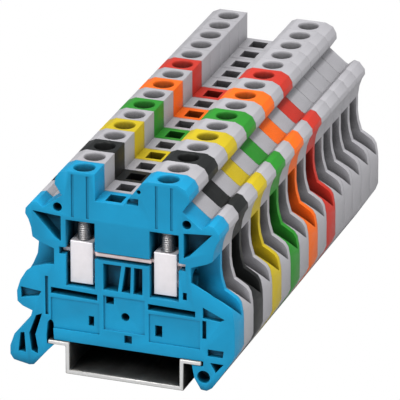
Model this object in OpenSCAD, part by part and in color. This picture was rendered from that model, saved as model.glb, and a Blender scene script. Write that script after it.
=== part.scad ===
// DIN rail terminal strip: sixteen feed-through screw-clamp terminal blocks,
// snapped side by side onto a short length of 35 mm top-hat rail.
// X runs along a block from wire side to wire side, Y runs along the rail
// (block 1 is at the -Y end, with its open side facing -Y), and z = 0 is
// the plane that the rail is screwed down to. The origin is halfway along
// the rail, on its centre line.

/* [Strip] */
// Distance from one block to the next
pitch = 6.2; // [5.8:0.1:6.6]
// Gap left between neighbouring housings
block_gap = 0.04; // [0.02:0.01:0.1]

/* [Rail] */
// Width over both flanges
rail_w = 35; // [34.8:0.1:35.2]
// Outer width of the hat
hat_w = 27; // [26.6:0.1:27.2]
// Height of the rail
rail_h = 7.5; // [7.5:0.1:7.6]
// Sheet thickness
rail_t = 1; // [0.8:0.1:1.1]
// How far the rail stands out past the end blocks
rail_overhang = 0.4; // [0:0.1:5]
// Width of the mounting slots
slot_w = 5.2; // [4.2:0.1:6.3]
// Length of the mounting slots
slot_len = 18; // [12:0.5:20]
// Distance between the two mounting slots
slot_pitch = 50; // [40:1:60]

/* [Housing] */
// Height of the screw towers
tower_h = 47.4; // [46.5:0.1:48]
// Height of the floor between the towers
valley_h = 41.2; // [40.5:0.1:42]
// Thickness of the closed side wall
wall = 0.76; // [0.6:0.02:0.9]

/* [Clamp] */
// Distance of each screw from the middle of the block
screw_x = 9.5; // [9.3:0.1:9.7]
// Thread diameter
thread_d = 3; // [2.8:0.1:3]
// Screw head diameter
head_d = 4.2; // [4:0.1:4.2]
// Width of the clamping sleeve along the block
sleeve_w = 5.2; // [4.8:0.1:5.4]
// Height of the clamping sleeve
sleeve_h = 9.8; // [9.4:0.1:9.9]
// Thickness of the current bar
bar_t = 0.9; // [0.8:0.1:1]

/* [Hidden] */
$fn = 48;
eps = 0.1;
block_count = 16;
strip_len = block_count * pitch;
housing_t = pitch - block_gap;
rail_len = strip_len + 2 * rail_overhang;
pocket_d = housing_t - wall;
// The screw, sleeve and bar of a block share this plane
clamp_y = 3;
// Colour of each block's moulding, from block 1
BLUE = "#1c8fbe";
GRAY = "#b9b8bb";
BLACK = "#2b2f31";
YELLOW = "#d2c02c";
GREEN = "#3f9c3c";
ORANGE = "#f2761f";
RED = "#d9452f";
ZINC = "#c9ccce";
STEEL = "#9aa0a4";
COPPER = "#c98f72";
// Clamp heights
chamber_top = 36;
chamber_floor = 20.6;
sleeve_z = 21.25;
sleeve_y = 4.4;
sleeve_side = 0.5;
sleeve_leg = 1.6;
bar_z = 28.2;
bar_w = 3;
bar_half = 14;
// The bar is wider between the sleeves than inside them
bar_middle = 12.6;
bar_mid_w = 4.6;
bar_top = bar_z + bar_t;
head_z = 39.6;
head_h = 1.9;
seat_z = head_z - 0.1;
funnel_d = 4.4;
mouth_d = 4.8;
thread_clearance = 0.06;
tip_gap = 0.05;
// Holes for the conductors, and how far out their slopes start
wire_d = 3.8;
wire_z = 25.5;
entry_x = 15.5;
entry_top = 28.9;
// Tilt of those slopes towards the closed wall and outwards
slope_back = 32;
slope_out = 27.5;
// Thickness of the closed side wall where it stands out
wing_wall = 1.3;
// Shaft for plug-in bridges
bridge_x = -2.9;
bridge_w = 3.6;

// Middle of the clamps and towers, against the middle of the rail
mid = -0.5;
// Half distance between the inner walls of the towers
tower_in = 6.1;

// Upper part of the moulding's right half, from the tower down to the wing,
// with X counted from the middle of the towers
SHOULDER = [
    [12.6, tower_h], [14.3, tower_h - 0.8], [15.1, tower_h - 2.2], [15.2, tower_h - 3.5],
    [13.6, 41.5], [17.3, 38.5], [18, 38.1], [19.4, 39.3], [20.6, 39], [21.9, 37.4],
    [22, 36.2], [21.3, 35], [20.7, 33.2], [20.4, 31]
];
// Wire side of the moulding, where the conductors go in
RIGHT_ENTRY = [
    [18.6, 30.2], [15, entry_top], [15, 25.4], [17.9, 24.1], [20.1, 23.1], [22.2, 21.9],
    [23.7, 20.9], [24.4, 19.8], [24.8, 17.6], [24.9, 15.5]
];
LEFT_ENTRY = [
    [-24.6, 17.8], [-23.8, 20.4], [-22.5, 22.6], [-20.7, 24.2], [-17.4, 25], [-16, 25.2],
    [-16, entry_top], [-19.6, 30.2]
];
// The closed wall stands out across the wire sides and keeps neighbouring wires apart
RIGHT_WALL = [
    [19.9, 27.4], [20.2, 25.1], [20.9, 22.7], [21.8, 19.9], [22.9, 17.8], [24, 16.3], [24.6, 13.8]
];
LEFT_WALL = [
    [-24.6, 17.8], [-23.8, 20.4], [-22.6, 22.6], [-21.6, 25], [-21.3, 27.8]
];
// Fixed foot, recess for the rail, spring foot and left flank
FEET = [
    [24.9, 10], [24.3, 8.4], [19.8, 1.5], [18.6, 0.7], [17.3, 0.8], [15.8, 3.3], [15.2, 6.4],
    [17.8, 6.4], [17.8, rail_h], [-16.2, rail_h],
    [-16.4, 11.3], [-17, 12.2], [-17.6, 11.4], [-17.9, 8.4], [-17.8, 6.4],
    [-16.1, 6.4], [-17.5, 4.9], [-20.9, 0.9], [-21.9, 0.7], [-25.5, 1.4],
    [-26.3, 2.6], [-26.3, 4.6], [-25.3, 7.5], [-21.5, 12.1], [-21.1, 13.6],
    [-23.3, 14.4], [-24.5, 15.4]
];

// Pegs of the closed side: X, Z and diameter
PEGS = [[0, 15, 1.6], [17.9, 3.9, 2.6]];
peg_len = 1.2;
// Ejector marks of the closed side: X and Z
EJECTOR_MARKS = [[-19, 35.3], [18, 35.3], [-13, 12.5], [13, 12.5], [21.5, 12.5], [-10, 40.5], [9, 40.5]];
mark_d = 2.2;

// Closed outline of the moulding, in X and Z, with given wire sides
function outline(right, left) = concat(
    [[mid - tower_in, tower_h], [mid - tower_in, valley_h], [-0.2, valley_h]],
    [[4, tower_h - 0.6], [mid + tower_in - 0.3, tower_h]],
    [for (p = SHOULDER) [mid + p.x, p.y]],
    right, FEET, left,
    [for (k = [len(SHOULDER) - 1 : -1 : 0]) [mid - SHOULDER[k].x, SHOULDER[k].y]]
);

// Slot that lets the left foot bend
SPRING_SLOT = [
    [-18.9, 13.2], [-20.3, 12.6], [-21.9, 8.2], [-21.4, 4.2], [-20, 3.6],
    [-19.9, 4.9], [-20.5, 8]
];

// Front of a block: y of block i
function block_y(i) = (i - block_count / 2) * pitch + block_gap / 2;

// Extrudes an X-Z outline backwards from y = 0 of the block
module slab(points, depth) {
    rotate([90, 0, 0])
        mirror([0, 0, 1])
            linear_extrude(height = depth)
                polygon(points);
}

// Pocket cut into the open side, down to a given depth
module pocket(points, depth) {
    translate([0, -eps, 0])
        slab(points, depth + eps);
}

// Rectangle in X and Z
function frame(x0, x1, z0, z1) = [[x0, z0], [x1, z0], [x1, z1], [x0, z1]];

// Screwdriver funnel, screw bore and clamp chamber of one side
module clamp_space(side) {
    x = mid + side * screw_x;
    translate([x, clamp_y, 0]) {
        translate([0, 0, seat_z])
            cylinder(d = funnel_d, h = tower_h);
        translate([0, 0, tower_h - 0.5])
            cylinder(d1 = funnel_d, d2 = mouth_d + 0.1, h = 0.6);
        translate([0, 0, chamber_top - eps])
            cylinder(d = thread_d + 0.4, h = seat_z - chamber_top + 2 * eps);
    }
    pocket(frame(x - 3.3, x + 3.3, chamber_floor, chamber_top), pocket_d);
    // Slot for the bar's end
    end = mid + side * (bar_half + 0.3);
    pocket(frame(min(x, end), max(x, end), bar_z - 0.3, bar_top + 0.4), pocket_d);
}

// Round hole for the conductor, from the wire side into the clamp chamber
module wire_hole(side) {
    translate([mid, clamp_y, wire_z])
        rotate([0, side * 90, 0])
            translate([0, 0, screw_x + 3])
                cylinder(d = wire_d, h = entry_x - screw_x - 2.8);
}

// Slope that leads the conductor up to its hole: it falls away outwards and
// towards the closed wall, and starts from the height given at its top
module wire_slope(side, top) {
    reach = 14;
    low = 12;
    size = 80;
    start = mid + side * entry_x;
    intersection() {
        translate([min(start, start + side * reach), -eps, low])
            cube([reach, housing_t - wing_wall + eps, entry_top - low]);
        translate([start, 0, top])
            rotate([-slope_back, side * slope_out, 0])
                translate([-size / 2, -size / 2, 0])
                    cube(size);
    }
}

// Recess under the wing of one shoulder, with its small round hole
module shoulder_recess(side) {
    pocket([
        [mid + side * 20.3, 37.1], [mid + side * 13.9, 36.6], [mid + side * 13.9, 30.9],
        [mid + side * 15.2, 31.6]
    ], 3.2);
    translate([mid + side * 14.6, -eps, 38.7])
        rotate([-90, 0, 0])
            cylinder(d = 2, h = 3.4);
}

// Grooves down the front of one tower
module tower_grooves(side) {
    x = mid + side * screw_x;
    for (edge = [-1.7, 1.7])
        pocket(frame(x + edge - 0.3, x + edge + 0.3, chamber_top + 0.8, tower_h - 0.8), 0.3);
}

// Recesses on the open side that thin the moulding out between its ribs
module side_recesses() {
    depth = 3.2;
    shallow = 1.4;
    // Middle space, divided by two ribs
    pocket([[-4.8, 20.9], [-1.5, 20.9], [-0.7, 27], [-4.8, 27]], depth);
    pocket([[-0.7, 20.9], [1.3, 20.9], [1.5, 27], [0.2, 27]], depth);
    pocket([[2, 20.9], [4.1, 20.9], [4.1, 27], [2.2, 27]], depth);
    // Slots under the clamp chambers
    pocket([[-16.8, 18.4], [-16.8, 19.8], [-6.2, 19.5], [-6.2, 18.1]], depth);
    pocket([[5.3, 17.7], [5.3, 19.1], [16, 18.9], [16, 17.5]], depth);
    // Middle panel between its ribs
    pocket([[-4.8, 11.6], [4.5, 11.6], [4.5, 19.6], [-4.8, 19.6]], 0.5);
    pocket(frame(-4.4, -2.6, 17.6, 19.2), depth);
    // Side panels
    pocket([[-16.8, 10.2], [-5.8, 10.2], [-5.8, 17.4], [-16.8, 17.4]], 0.35);
    pocket([[5.5, 10.2], [17, 10.2], [17, 16.8], [5.5, 16.8]], 0.35);
    pocket(frame(-8.3, -7.1, 11.9, 14.1), depth);
    pocket(frame(6.8, 8.4, 11.6, 14.2), depth);
    pocket(frame(-0.1, 1.6, 9.1, 10.9), shallow);
    pocket(frame(13.2, 14.1, 21.2, 22.9), shallow);
    // Strengthening edges of the lower body
    pocket(frame(-18.1, -17.4, 13.2, 22.2), 0.6);
    pocket(frame(17.6, 18.5, 12.8, 17), shallow);
    pocket([[17.7, 20.1], [22.6, 17.9], [21.6, 17.3], [17.7, 17.6]], shallow);
    pocket([[-23.7, 18.9], [-19, 18.4], [-19.6, 17.3], [-23.6, 16.4]], shallow);
    // Feet
    pocket([[-23.9, 8], [-23, 8.2], [-22.7, 3.6], [-24.4, 3.6]], depth);
    pocket([[18.8, 10.5], [22.4, 10.5], [22.2, 8.9], [18.8, 8.9]], shallow);
    pocket([[19.4, 7.4], [22.4, 7.4], [20.6, 5.2]], depth);
}

// Pins and holes along the middle, and the shaft for plug-in bridges
module middle_holes() {
    for (peg = PEGS)
        translate([peg.x, -eps, peg.y])
            rotate([-90, 0, 0])
                cylinder(d = peg.z + 0.25, h = 3.4);
    pocket(frame(0.6, 3.2, 41.5, 43), 1.6);
    translate([3.3, -eps, 44.7])
        rotate([-90, 0, 0])
            cylinder(d = 0.9, h = 1.6);
    translate([bridge_x - bridge_w / 2, clamp_y - bridge_w / 2, bar_top])
        cube([bridge_w, bridge_w, valley_h]);
    half = bar_middle / 2 + 0.1;
    pocket(frame(mid - half, mid + half, bar_z - 0.4, bar_top + 0.4), pocket_d);
}

// Pegs on the closed side, which sit in the next block's holes
module pegs() {
    for (peg = PEGS)
        translate([peg.x, housing_t - eps, peg.y])
            rotate([-90, 0, 0])
                cylinder(d = peg.z, h = peg_len + eps);
}

// Shallow panels and ejector marks in the closed side
module closed_side_marks() {
    for (side = [-1, 1]) {
        x = mid + side * screw_x;
        translate([x - 3, housing_t - 0.2, chamber_floor + 0.4])
            cube([6, 1, chamber_top - chamber_floor - 0.8]);
    }
    translate([-4.6, housing_t - 0.2, 17.4])
        cube([8.8, 1, 9.6]);
    for (mark = EJECTOR_MARKS)
        translate([mark.x, housing_t - 0.15, mark.y])
            rotate([-90, 0, 0])
                cylinder(d = mark_d, h = 1);
}

// One moulded housing, with its closed side towards +Y
module housing(i, colour) {
    color(colour)
        translate([0, block_y(i), 0])
            difference() {
                union() {
                    slab(outline(RIGHT_ENTRY, LEFT_ENTRY), housing_t);
                    translate([0, housing_t - wing_wall, 0])
                        slab(outline(RIGHT_WALL, LEFT_WALL), wing_wall);
                    pegs();
                }
                closed_side_marks();
                for (side = [-1, 1]) {
                    clamp_space(side);
                    wire_hole(side);
                    shoulder_recess(side);
                    tower_grooves(side);
                }
                wire_slope(1, 25.8);
                wire_slope(-1, 26.7);
                side_recesses();
                middle_holes();
                translate([0, -eps, 0])
                    slab(SPRING_SLOT, housing_t + 2 * eps);
            }
}

// One M3 clamping screw with a slotted cheese head
module screw(i, side) {
    tip_z = bar_top + tip_gap;
    color(STEEL)
        translate([mid + side * screw_x, block_y(i) + clamp_y, 0])
            difference() {
                union() {
                    translate([0, 0, tip_z])
                        cylinder(d1 = thread_d - 0.8, d2 = thread_d, h = 0.4);
                    translate([0, 0, tip_z + 0.4])
                        cylinder(d = thread_d, h = head_z - tip_z - 0.4);
                    translate([0, 0, head_z])
                        cylinder(d = head_d, h = head_h);
                }
                translate([-head_d, -0.35, head_z + head_h - 1])
                    cube([2 * head_d, 0.7, 2]);
            }
}

// One clamping sleeve: a rectangular tube along X, threaded through its top
module sleeve(i, side) {
    color(ZINC)
        translate([mid + side * screw_x, block_y(i) + clamp_y, sleeve_z])
            difference() {
                translate([-sleeve_w / 2, -sleeve_y / 2, 0])
                    cube([sleeve_w, sleeve_y, sleeve_h]);
                translate([-sleeve_w, sleeve_side - sleeve_y / 2, sleeve_leg])
                    cube([2 * sleeve_w, sleeve_y - 2 * sleeve_side, sleeve_h - 2 * sleeve_leg]);
                translate([0, 0, sleeve_h - sleeve_leg - eps])
                    cylinder(d = thread_d + thread_clearance, h = sleeve_leg + 2 * eps);
            }
}

// One current bar, running through both sleeves of a block
module bar(i) {
    color(COPPER)
        translate([mid, block_y(i) + clamp_y, bar_z])
            difference() {
                union() {
                    translate([-bar_half, -bar_w / 2, 0])
                        cube([2 * bar_half, bar_w, bar_t]);
                    translate([-bar_middle / 2, -bar_mid_w / 2, 0])
                        cube([bar_middle, bar_mid_w, bar_t]);
                }
                translate([bridge_x - mid - 1.2, -0.6, -eps])
                    cube([2.4, 1.2, bar_t + 2 * eps]);
            }
}

// Top-hat rail with oblong mounting slots in its floor
module rail() {
    flange = rail_w / 2;
    outer = hat_w / 2;
    inner = outer - rail_t;
    half_slot = (slot_len - slot_w) / 2;
    color(STEEL)
        difference() {
            translate([0, -rail_len / 2, 0])
                slab([
                    [-flange, rail_h], [-inner, rail_h], [-inner, rail_t], [inner, rail_t],
                    [inner, rail_h], [flange, rail_h], [flange, rail_h - rail_t],
                    [outer, rail_h - rail_t], [outer, 0], [-outer, 0],
                    [-outer, rail_h - rail_t], [-flange, rail_h - rail_t]
                ], rail_len);
            for (k = [-0.5, 0.5])
                translate([0, k * slot_pitch, -eps]) {
                    translate([-slot_w / 2, -half_slot, 0])
                        cube([slot_w, 2 * half_slot, rail_t + 2 * eps]);
                    for (end = [-1, 1])
                        translate([0, end * half_slot, 0])
                            cylinder(d = slot_w, h = rail_t + 2 * eps);
                }
        }
}

// Current bars of every block after the first
module bars_rear() {
    for (i = [1 : block_count - 1])
        bar(i);
}

// Clamping sleeves of the blocks after the fourth
module sleeves_rear() {
    for (i = [4 : block_count - 1])
        for (side = [-1, 1])
            sleeve(i, side);
}

// One module for each separate piece
module housing_01_blue() { housing(0, BLUE); }
module housing_02_gray() { housing(1, GRAY); }
module housing_03_black() { housing(2, BLACK); }
module housing_04_gray() { housing(3, GRAY); }
module housing_05_yellow() { housing(4, YELLOW); }
module housing_06_gray() { housing(5, GRAY); }
module housing_07_green() { housing(6, GREEN); }
module housing_08_gray() { housing(7, GRAY); }
module housing_09_orange() { housing(8, ORANGE); }
module housing_10_gray() { housing(9, GRAY); }
module housing_11_red() { housing(10, RED); }
module housing_12_gray() { housing(11, GRAY); }
module housing_13_gray() { housing(12, GRAY); }
module housing_14_gray() { housing(13, GRAY); }
module housing_15_gray() { housing(14, GRAY); }
module housing_16_gray() { housing(15, GRAY); }
module screw_01_left() { screw(0, -1); }
module screw_01_right() { screw(0, 1); }
module screw_02_left() { screw(1, -1); }
module screw_02_right() { screw(1, 1); }
module screw_03_left() { screw(2, -1); }
module screw_03_right() { screw(2, 1); }
module screw_04_left() { screw(3, -1); }
module screw_04_right() { screw(3, 1); }
module screw_05_left() { screw(4, -1); }
module screw_05_right() { screw(4, 1); }
module screw_06_left() { screw(5, -1); }
module screw_06_right() { screw(5, 1); }
module screw_07_left() { screw(6, -1); }
module screw_07_right() { screw(6, 1); }
module screw_08_left() { screw(7, -1); }
module screw_08_right() { screw(7, 1); }
module screw_09_left() { screw(8, -1); }
module screw_09_right() { screw(8, 1); }
module screw_10_left() { screw(9, -1); }
module screw_10_right() { screw(9, 1); }
module screw_11_left() { screw(10, -1); }
module screw_11_right() { screw(10, 1); }
module screw_12_left() { screw(11, -1); }
module screw_12_right() { screw(11, 1); }
module screw_13_left() { screw(12, -1); }
module screw_13_right() { screw(12, 1); }
module screw_14_left() { screw(13, -1); }
module screw_14_right() { screw(13, 1); }
module screw_15_left() { screw(14, -1); }
module screw_15_right() { screw(14, 1); }
module screw_16_left() { screw(15, -1); }
module screw_16_right() { screw(15, 1); }
module sleeve_01_left() { sleeve(0, -1); }
module sleeve_01_right() { sleeve(0, 1); }
module sleeve_02_left() { sleeve(1, -1); }
module sleeve_02_right() { sleeve(1, 1); }
module sleeve_03_left() { sleeve(2, -1); }
module sleeve_03_right() { sleeve(2, 1); }
module sleeve_04_left() { sleeve(3, -1); }
module sleeve_04_right() { sleeve(3, 1); }
module bar_01() { bar(0); }

rail();
housing_01_blue();
housing_02_gray();
housing_03_black();
housing_04_gray();
housing_05_yellow();
housing_06_gray();
housing_07_green();
housing_08_gray();
housing_09_orange();
housing_10_gray();
housing_11_red();
housing_12_gray();
housing_13_gray();
housing_14_gray();
housing_15_gray();
housing_16_gray();
screw_01_left();
screw_01_right();
screw_02_left();
screw_02_right();
screw_03_left();
screw_03_right();
screw_04_left();
screw_04_right();
screw_05_left();
screw_05_right();
screw_06_left();
screw_06_right();
screw_07_left();
screw_07_right();
screw_08_left();
screw_08_right();
screw_09_left();
screw_09_right();
screw_10_left();
screw_10_right();
screw_11_left();
screw_11_right();
screw_12_left();
screw_12_right();
screw_13_left();
screw_13_right();
screw_14_left();
screw_14_right();
screw_15_left();
screw_15_right();
screw_16_left();
screw_16_right();
sleeve_01_left();
sleeve_01_right();
sleeve_02_left();
sleeve_02_right();
sleeve_03_left();
sleeve_03_right();
sleeve_04_left();
sleeve_04_right();
bar_01();
bars_rear();
sleeves_rear();
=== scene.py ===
"""Looks of the DIN rail terminal strip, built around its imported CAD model."""

import math

import bmesh
import bpy
from mathutils import Matrix, Vector


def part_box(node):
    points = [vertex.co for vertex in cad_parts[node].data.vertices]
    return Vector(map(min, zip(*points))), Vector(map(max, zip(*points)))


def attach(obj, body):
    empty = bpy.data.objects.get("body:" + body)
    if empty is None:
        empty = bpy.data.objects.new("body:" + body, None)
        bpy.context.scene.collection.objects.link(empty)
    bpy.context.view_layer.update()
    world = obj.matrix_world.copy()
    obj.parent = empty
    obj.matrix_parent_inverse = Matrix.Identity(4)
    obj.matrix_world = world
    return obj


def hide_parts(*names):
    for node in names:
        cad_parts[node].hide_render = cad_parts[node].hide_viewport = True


MM = 0.001

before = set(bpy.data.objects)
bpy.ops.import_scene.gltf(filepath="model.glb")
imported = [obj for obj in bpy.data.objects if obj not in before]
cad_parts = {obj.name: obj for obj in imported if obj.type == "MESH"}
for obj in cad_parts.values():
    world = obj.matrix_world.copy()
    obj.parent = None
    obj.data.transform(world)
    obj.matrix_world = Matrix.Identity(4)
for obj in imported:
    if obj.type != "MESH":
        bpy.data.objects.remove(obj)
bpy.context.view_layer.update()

# Strip: what repeats along Y, worked out from the CAD nodes
HOUSINGS = sorted(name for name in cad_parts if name.startswith("housing_"))
COLOURS = [name.split("_")[2] for name in HOUSINGS]
FIRST_LOW, FIRST_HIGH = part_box(HOUSINGS[0])
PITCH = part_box(HOUSINGS[1])[0].y - FIRST_LOW.y
SIDES = ("left", "right")
LAST_WITH_OWN_SLEEVES = 4

# Radius of the rounded edges of each kind of piece
MOULDING_EDGE = 0.08 * MM
SLEEVE_EDGE = 0.22 * MM
BAR_EDGE = 0.12 * MM
RAIL_EDGE = 0.32 * MM

# Linear base colour of each moulding
MOULDING = {
    "blue": (0.004, 0.29, 0.53),
    "gray": (0.41, 0.40, 0.42),
    "black": (0.014, 0.015, 0.015),
    "yellow": (0.58, 0.44, 0.012),
    "green": (0.025, 0.26, 0.022),
    "orange": (0.88, 0.15, 0.008),
    "red": (0.56, 0.035, 0.020),
}


# Camera

def add_camera():
    """The photograph's view: from the front, right of the strip and above it."""
    azimuth = 0.340
    elevation = 0.407
    distance = 1.290
    target = Vector((0.01237, FIRST_LOW.y + 0.01336, 0.03881))
    away = Vector((
        math.sin(azimuth) * math.cos(elevation),
        -math.cos(azimuth) * math.cos(elevation),
        math.sin(elevation),
    ))
    data = bpy.data.cameras.new("camera")
    data.sensor_width = 36
    data.lens = 544.4
    data.clip_start = 0.05
    camera = bpy.data.objects.new("camera", data)
    camera.location = target + away * distance
    camera.rotation_euler = (-away).to_track_quat("-Z", "Y").to_euler()
    bpy.context.scene.collection.objects.link(camera)
    bpy.context.scene.camera = camera


# Materials

class Nodes:
    """A new material's node tree, with short ways to add and join nodes."""

    def __init__(self, name):
        self.material = bpy.data.materials.new(name)
        self.material.use_nodes = True
        self.tree = self.material.node_tree
        self.shader = self.tree.nodes["Principled BSDF"]
        self.place = self.add("ShaderNodeTexCoord").outputs["Object"]

    def add(self, kind, **settings):
        node = self.tree.nodes.new(kind)
        for key, value in settings.items():
            setattr(node, key, value)
        return node

    def join(self, source, target):
        self.tree.links.new(source, target)

    def noise(self, scale, detail=3.0, stretch=(1, 1, 1)):
        mapping = self.add("ShaderNodeMapping")
        mapping.inputs["Scale"].default_value = stretch
        self.join(self.place, mapping.inputs["Vector"])
        noise = self.add("ShaderNodeTexNoise")
        noise.inputs["Scale"].default_value = scale
        noise.inputs["Detail"].default_value = detail
        self.join(mapping.outputs["Vector"], noise.inputs["Vector"])
        return noise.outputs["Fac"]

    def spread(self, value, low, high, start=0.3, end=0.7):
        """Maps start to end onto low to high."""
        node = self.add("ShaderNodeMapRange")
        node.inputs["From Min"].default_value = start
        node.inputs["From Max"].default_value = end
        node.inputs["To Min"].default_value = low
        node.inputs["To Max"].default_value = high
        self.join(value, node.inputs["Value"])
        return node.outputs["Result"]

    def mix(self, factor, a, b):
        """Mixes two colours; each is three numbers or another node's output."""
        node = self.add("ShaderNodeMix", data_type="RGBA")
        self.join(factor, node.inputs["Factor"])
        for socket, colour in (("A", a), ("B", b)):
            target = [i for i in node.inputs if i.name == socket and i.type == "RGBA"][0]
            if isinstance(colour, tuple):
                target.default_value = (*colour, 1)
            else:
                self.join(colour, target)
        return [o for o in node.outputs if o.type == "RGBA"][0]

    def open_air(self, reach, start, end):
        """0 where walls nearer than reach close a place in, and 1 where it is open; the mask for
        painted shade.
        """
        node = self.add("ShaderNodeAmbientOcclusion", samples=6)
        node.inputs["Distance"].default_value = reach
        return self.spread(node.outputs["AO"], 0, 1, start, end)

    def bump(self, height, strength, distance, below=None):
        """A normal for the given height, on top of the normal below."""
        node = self.add("ShaderNodeBump")
        node.inputs["Strength"].default_value = strength
        node.inputs["Distance"].default_value = distance
        self.join(height, node.inputs["Height"])
        if below:
            self.join(below, node.inputs["Normal"])
        return node.outputs["Normal"]


def scaled(colour, factor):
    return tuple(channel * factor for channel in colour)


def plastic(name, colour):
    """Moulded polyamide: a fine spark-eroded grain, with flow marks, and painted shade in its
    hollows.
    """
    n = Nodes(name)
    flow = n.noise(90, 4, (1, 0.35, 1))
    grain = n.noise(4200, 2)
    tone = n.mix(n.spread(flow, 0, 1), scaled(colour, 0.90), scaled(colour, 1.08))
    # Painted shade: the colour falls to a tenth of itself where nearby walls close a hollow in.
    tone_and_painted_shade = n.mix(n.open_air(7 * MM, 0.30, 0.72), scaled(colour, 0.10), tone)
    n.join(tone_and_painted_shade, n.shader.inputs["Base Color"])
    n.join(n.spread(n.noise(240, 3), 0.42, 0.56), n.shader.inputs["Roughness"])
    soft = n.bump(flow, 0.12, 0.4 * MM)
    n.join(n.bump(grain, 0.25, 0.06 * MM, soft), n.shader.inputs["Normal"])
    n.shader.inputs["IOR"].default_value = 1.53
    n.shader.inputs["Specular IOR Level"].default_value = 0.25
    return n.material


def metal(name, colour, roughness, brush, uneven=0.12, metallic=1.0):
    """Plated metal: uneven plating, and fine drawing lines, stretched by brush."""
    n = Nodes(name)
    patches = n.noise(420, 5)
    lines = n.noise(2600, 2, brush)
    darkest = scaled(colour, 1 - uneven)
    lightest = scaled(colour, 1 + uneven / 2)
    n.join(n.mix(n.spread(patches, 0, 1), darkest, lightest), n.shader.inputs["Base Color"])
    n.join(n.spread(lines, roughness - 0.07, roughness + 0.09), n.shader.inputs["Roughness"])
    n.join(n.bump(lines, 0.16, 0.05 * MM), n.shader.inputs["Normal"])
    n.shader.inputs["Metallic"].default_value = metallic
    return n.material


def rail_steel():
    """Passivated rail: dull along its length, with painted shade under the blocks, bright where
    it was cut.
    """
    n = Nodes("rail_steel")
    patches = n.noise(260, 5)
    lines = n.noise(1500, 2, (1, 0.03, 1))
    dull = n.mix(n.spread(patches, 0, 1), (0.30, 0.29, 0.27), (0.42, 0.41, 0.39))
    # Painted shade: near black where the blocks above close the rail in.
    dull = n.mix(n.open_air(12 * MM, 0.35, 0.8), (0.03, 0.03, 0.028), dull)
    facing = n.add("ShaderNodeSeparateXYZ")
    n.join(n.add("ShaderNodeNewGeometry").outputs["Normal"], facing.inputs["Vector"])
    squared = n.add("ShaderNodeMath", operation="MULTIPLY")
    n.join(facing.outputs["Y"], squared.inputs[0])
    n.join(facing.outputs["Y"], squared.inputs[1])
    cut = n.spread(squared.outputs["Value"], 0, 1, 0.5, 0.9)
    n.join(n.mix(cut, dull, (0.86, 0.84, 0.82)), n.shader.inputs["Base Color"])
    n.join(n.spread(lines, 0.34, 0.55), n.shader.inputs["Roughness"])
    n.join(n.bump(lines, 0.2, 0.06 * MM), n.shader.inputs["Normal"])
    n.shader.inputs["Metallic"].default_value = 0.85
    return n.material


# Mesh tools

def new_piece(name, mesh, material, body, replaced=(), place=None):
    """One shown piece, riding on its CAD body and standing for its CAD nodes."""
    piece = bpy.data.objects.new(name, mesh)
    bpy.context.scene.collection.objects.link(piece)
    if place is not None:
        piece.matrix_world = place
    if not mesh.materials:
        mesh.materials.append(None)
    piece.material_slots[0].link = "OBJECT"
    piece.material_slots[0].material = material
    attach(piece, body)
    if replaced:
        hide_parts(*replaced)
    return piece


def smoothed(mesh, degrees=32):
    """The mesh with soft shading, except across edges sharper than that."""
    mesh.shade_smooth()
    mesh.set_sharp_from_angle(angle=math.radians(degrees))
    return mesh


def with_modifiers(mesh, name, *modifiers):
    """A new mesh: the given one after modifiers, each a kind and its settings."""
    helper = bpy.data.objects.new(name, mesh)
    bpy.context.scene.collection.objects.link(helper)
    for kind, settings in modifiers:
        modifier = helper.modifiers.new(kind, kind)
        for key, value in settings.items():
            setattr(modifier, key, value)
    bpy.context.view_layer.update()
    evaluated = helper.evaluated_get(bpy.context.evaluated_depsgraph_get())
    result = bpy.data.meshes.new_from_object(evaluated)
    result.name = name
    bpy.data.objects.remove(helper)
    return result


def bevel(width, segments=2, degrees=24):
    """A bevel modifier for edges sharper than degrees."""
    return ("BEVEL", {
        "width": width, "segments": segments, "limit_method": "ANGLE",
        "angle_limit": math.radians(degrees), "use_clamp_overlap": False,
    })


def clean_copy(node):
    """A CAD node's mesh with its corners joined and its flat faces whole."""
    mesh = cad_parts[node].data.copy()
    mesh.materials.clear()
    work = bmesh.new()
    work.from_mesh(mesh)
    bmesh.ops.remove_doubles(work, verts=work.verts, dist=2e-6)
    bmesh.ops.dissolve_limit(
        work, angle_limit=math.radians(0.6), verts=work.verts, edges=work.edges)
    work.to_mesh(mesh)
    work.free()
    return mesh


def rounded_copy(node, name, width, segments=2):
    """A CAD node's mesh with its edges rounded."""
    return smoothed(with_modifiers(clean_copy(node), name, bevel(width, segments)))


def ring(work, steps, height, radius):
    """A ring of vertices about Z; radius is a function of the share of a turn."""
    return [
        work.verts.new((
            radius(k / steps) * math.cos(math.tau * k / steps),
            radius(k / steps) * math.sin(math.tau * k / steps),
            height,
        ))
        for k in range(steps)
    ]


def skin(work, rings):
    """Faces between neighbouring rings, and over the first and the last."""
    for below, above in zip(rings, rings[1:]):
        for k in range(len(below)):
            after = (k + 1) % len(below)
            work.faces.new((below[k], below[after], above[after], above[k]))
    work.faces.new(list(reversed(rings[0])))
    work.faces.new(rings[-1])


def box_mesh(name, low, high):
    work = bmesh.new()
    bmesh.ops.create_cube(work, size=1)
    for vert in work.verts:
        vert.co = Vector(
            [low[i] + (high[i] - low[i]) * (vert.co[i] + 0.5) for i in range(3)])
    mesh = bpy.data.meshes.new(name)
    work.to_mesh(mesh)
    work.free()
    return mesh


# Pieces

def add_housings():
    materials = {c: plastic("polyamide_" + c, MOULDING[c]) for c in sorted(set(COLOURS))}
    mesh = rounded_copy(HOUSINGS[0], "moulding", MOULDING_EDGE)
    for index, (node, colour) in enumerate(zip(HOUSINGS, COLOURS)):
        place = Matrix.Translation((0, index * PITCH, 0))
        new_piece("moulding_%02d" % (index + 1), mesh, materials[colour], "root",
                  [node], place)


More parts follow.
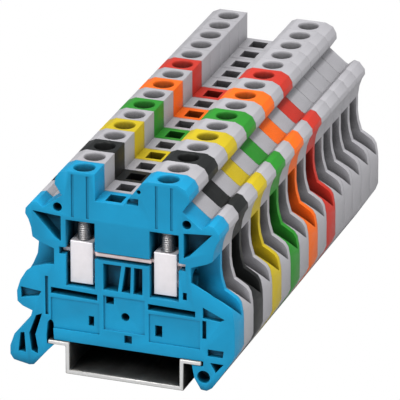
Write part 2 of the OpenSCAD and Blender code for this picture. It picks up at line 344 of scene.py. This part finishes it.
def screw_mesh(low, high):
    """A slotted cheese-head screw with a rolled thread, centred on its own axis."""
    lead = 0.5 * MM
    depth = 0.2 * MM
    flat = 1.25
    shank = 1.5 * MM
    point_depth = 0.5 * MM
    point_length = 0.45 * MM
    head = 2.1 * MM
    edge = 0.18 * MM
    slot_width = 0.7 * MM
    slot_depth = 1 * MM
    head_low = high - 1.9 * MM
    neck_low = head_low - 0.4 * MM
    neck = shank - 0.1 * MM
    thread_top = head_low - 0.5 * MM
    per_turn = 8
    steps = 24
    work = bmesh.new()
    rings = []
    count = int((thread_top - low) / lead * per_turn)
    for row in range(count + 1):
        height = low + (thread_top - low) * row / count
        point = point_depth * max(0, 1 - (height - low) / point_length)

        def radius(share):
            crest = 1 - abs(2 * ((height / lead - share) % 1.0) - 1)
            return shank - depth * (1 - min(1, flat * crest)) - point

        rings.append(ring(work, steps, height, radius))
    profile = (
        (neck, neck_low), (neck, head_low - 0.02 * MM),
        (head - edge, head_low), (head, head_low + edge), (head, high - edge),
        (head - 0.4 * edge, high - 0.4 * edge), (head - edge, high),
    )
    for size, height in profile:
        rings.append(ring(work, steps, height, lambda share: size))
    skin(work, rings)
    blank = bpy.data.meshes.new("screw_blank")
    work.to_mesh(blank)
    work.free()
    cutter = bpy.data.objects.new("driver_slot", box_mesh(
        "driver_slot", (-1.5 * head, -slot_width / 2, high - slot_depth),
        (1.5 * head, slot_width / 2, high + slot_depth)))
    bpy.context.scene.collection.objects.link(cutter)
    mesh = with_modifiers(blank, "screw", (
        "BOOLEAN", {"operation": "DIFFERENCE", "object": cutter, "solver": "EXACT"}))
    bpy.data.objects.remove(cutter)
    return smoothed(mesh, 40)


def add_screws():
    material = metal("screw_steel", (0.40, 0.39, 0.39), 0.50, (1, 1, 0.05))
    low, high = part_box("screw_01_left")
    mesh = screw_mesh(low.z, high.z)
    for index in range(len(HOUSINGS)):
        for side in SIDES:
            node = "screw_%02d_%s" % (index + 1, side)
            low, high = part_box(node)
            middle = (low + high) / 2
            place = Matrix.Translation((middle.x, middle.y, 0))
            new_piece("clamp_" + node, mesh, material, node, [node], place)


def add_sleeves():
    material = metal("sleeve_steel", (0.98, 0.93, 0.95), 0.52, (1, 1, 0.08), 0.05, 0.6)
    mesh = rounded_copy("sleeve_01_left", "sleeve", SLEEVE_EDGE, 3)
    first = sum(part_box("sleeve_01_left"), Vector()) / 2
    spacing = sum(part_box("sleeve_01_right"), Vector()) / 2 - first
    for index in range(len(HOUSINGS)):
        for side in SIDES:
            place = Matrix.Translation(
                (spacing.x * SIDES.index(side), index * PITCH, 0))
            node = "sleeve_%02d_%s" % (index + 1, side)
            own = index < LAST_WITH_OWN_SLEEVES
            new_piece("clamp_" + node, mesh, material, node if own else "root",
                      [node if own else "sleeves_rear"], place)


def add_bars():
    material = metal("bar_copper", (0.96, 0.78, 0.76), 0.42, (0.05, 1, 1), 0.08, 0.6)
    mesh = rounded_copy("bar_01", "current_bar", BAR_EDGE)
    for index in range(len(HOUSINGS)):
        place = Matrix.Translation((0, index * PITCH, 0))
        new_piece("current_bar_%02d" % (index + 1), mesh, material, "root",
                  ["bars_rear" if index else "bar_01"], place)


def add_rail():
    mesh = rounded_copy("rail", "top_hat_rail", RAIL_EDGE, 3)
    new_piece("top_hat_rail", mesh, rail_steel(), "root", ["rail"])


# Studio

def seen_white(tree, shader, below):
    """Joins shader to the output, but shows plain white to the camera."""
    ray = tree.nodes.new("ShaderNodeLightPath")
    white = tree.nodes.new(below)
    white.inputs["Color"].default_value = (1, 1, 1, 1)
    mixed = tree.nodes.new("ShaderNodeMixShader")
    tree.links.new(ray.outputs["Is Camera Ray"], mixed.inputs[0])
    tree.links.new(shader, mixed.inputs[1])
    tree.links.new(white.outputs[0], mixed.inputs[2])
    output = [n for n in tree.nodes if n.type.startswith("OUTPUT")][0]
    tree.links.new(mixed.outputs[0], output.inputs["Surface"])


def add_floor():
    bpy.ops.mesh.primitive_plane_add(size=8, location=(0, 0, -0.0002))
    floor = bpy.context.object
    floor.name = "floor"
    n = Nodes("floor")
    n.shader.inputs["Base Color"].default_value = (0.45, 0.45, 0.45, 1)
    n.shader.inputs["Roughness"].default_value = 0.9
    seen_white(n.tree, n.shader.outputs["BSDF"], "ShaderNodeEmission")
    floor.data.materials.append(n.material)


def add_light(name, place, power, size, colour=(1, 1, 1)):
    data = bpy.data.lights.new(name, "AREA")
    data.energy = power
    data.size = size
    data.color = colour
    light = bpy.data.objects.new(name, data)
    light.location = place
    light.rotation_euler = Vector(place).to_track_quat("Z", "Y").to_euler()
    bpy.context.scene.collection.objects.link(light)


def add_studio():
    bpy.context.scene.view_settings.view_transform = "Standard"
    world = bpy.data.worlds.new("studio")
    world.use_nodes = True
    background = world.node_tree.nodes["Background"]
    background.inputs["Color"].default_value = (0.94, 0.97, 1, 1)
    background.inputs["Strength"].default_value = 0.34
    seen_white(world.node_tree, background.outputs["Background"], "ShaderNodeBackground")
    bpy.context.scene.world = world
    add_light("key", (-0.45, -0.85, 0.80), 8.0, 0.35)
    add_light("top", (0.30, -0.10, 1.20), 11.0, 0.30)
    add_light("right", (0.95, -0.45, 0.75), 3.8, 0.4)


add_camera()
add_rail()
add_housings()
add_bars()
add_sleeves()
add_screws()
add_floor()
add_studio()
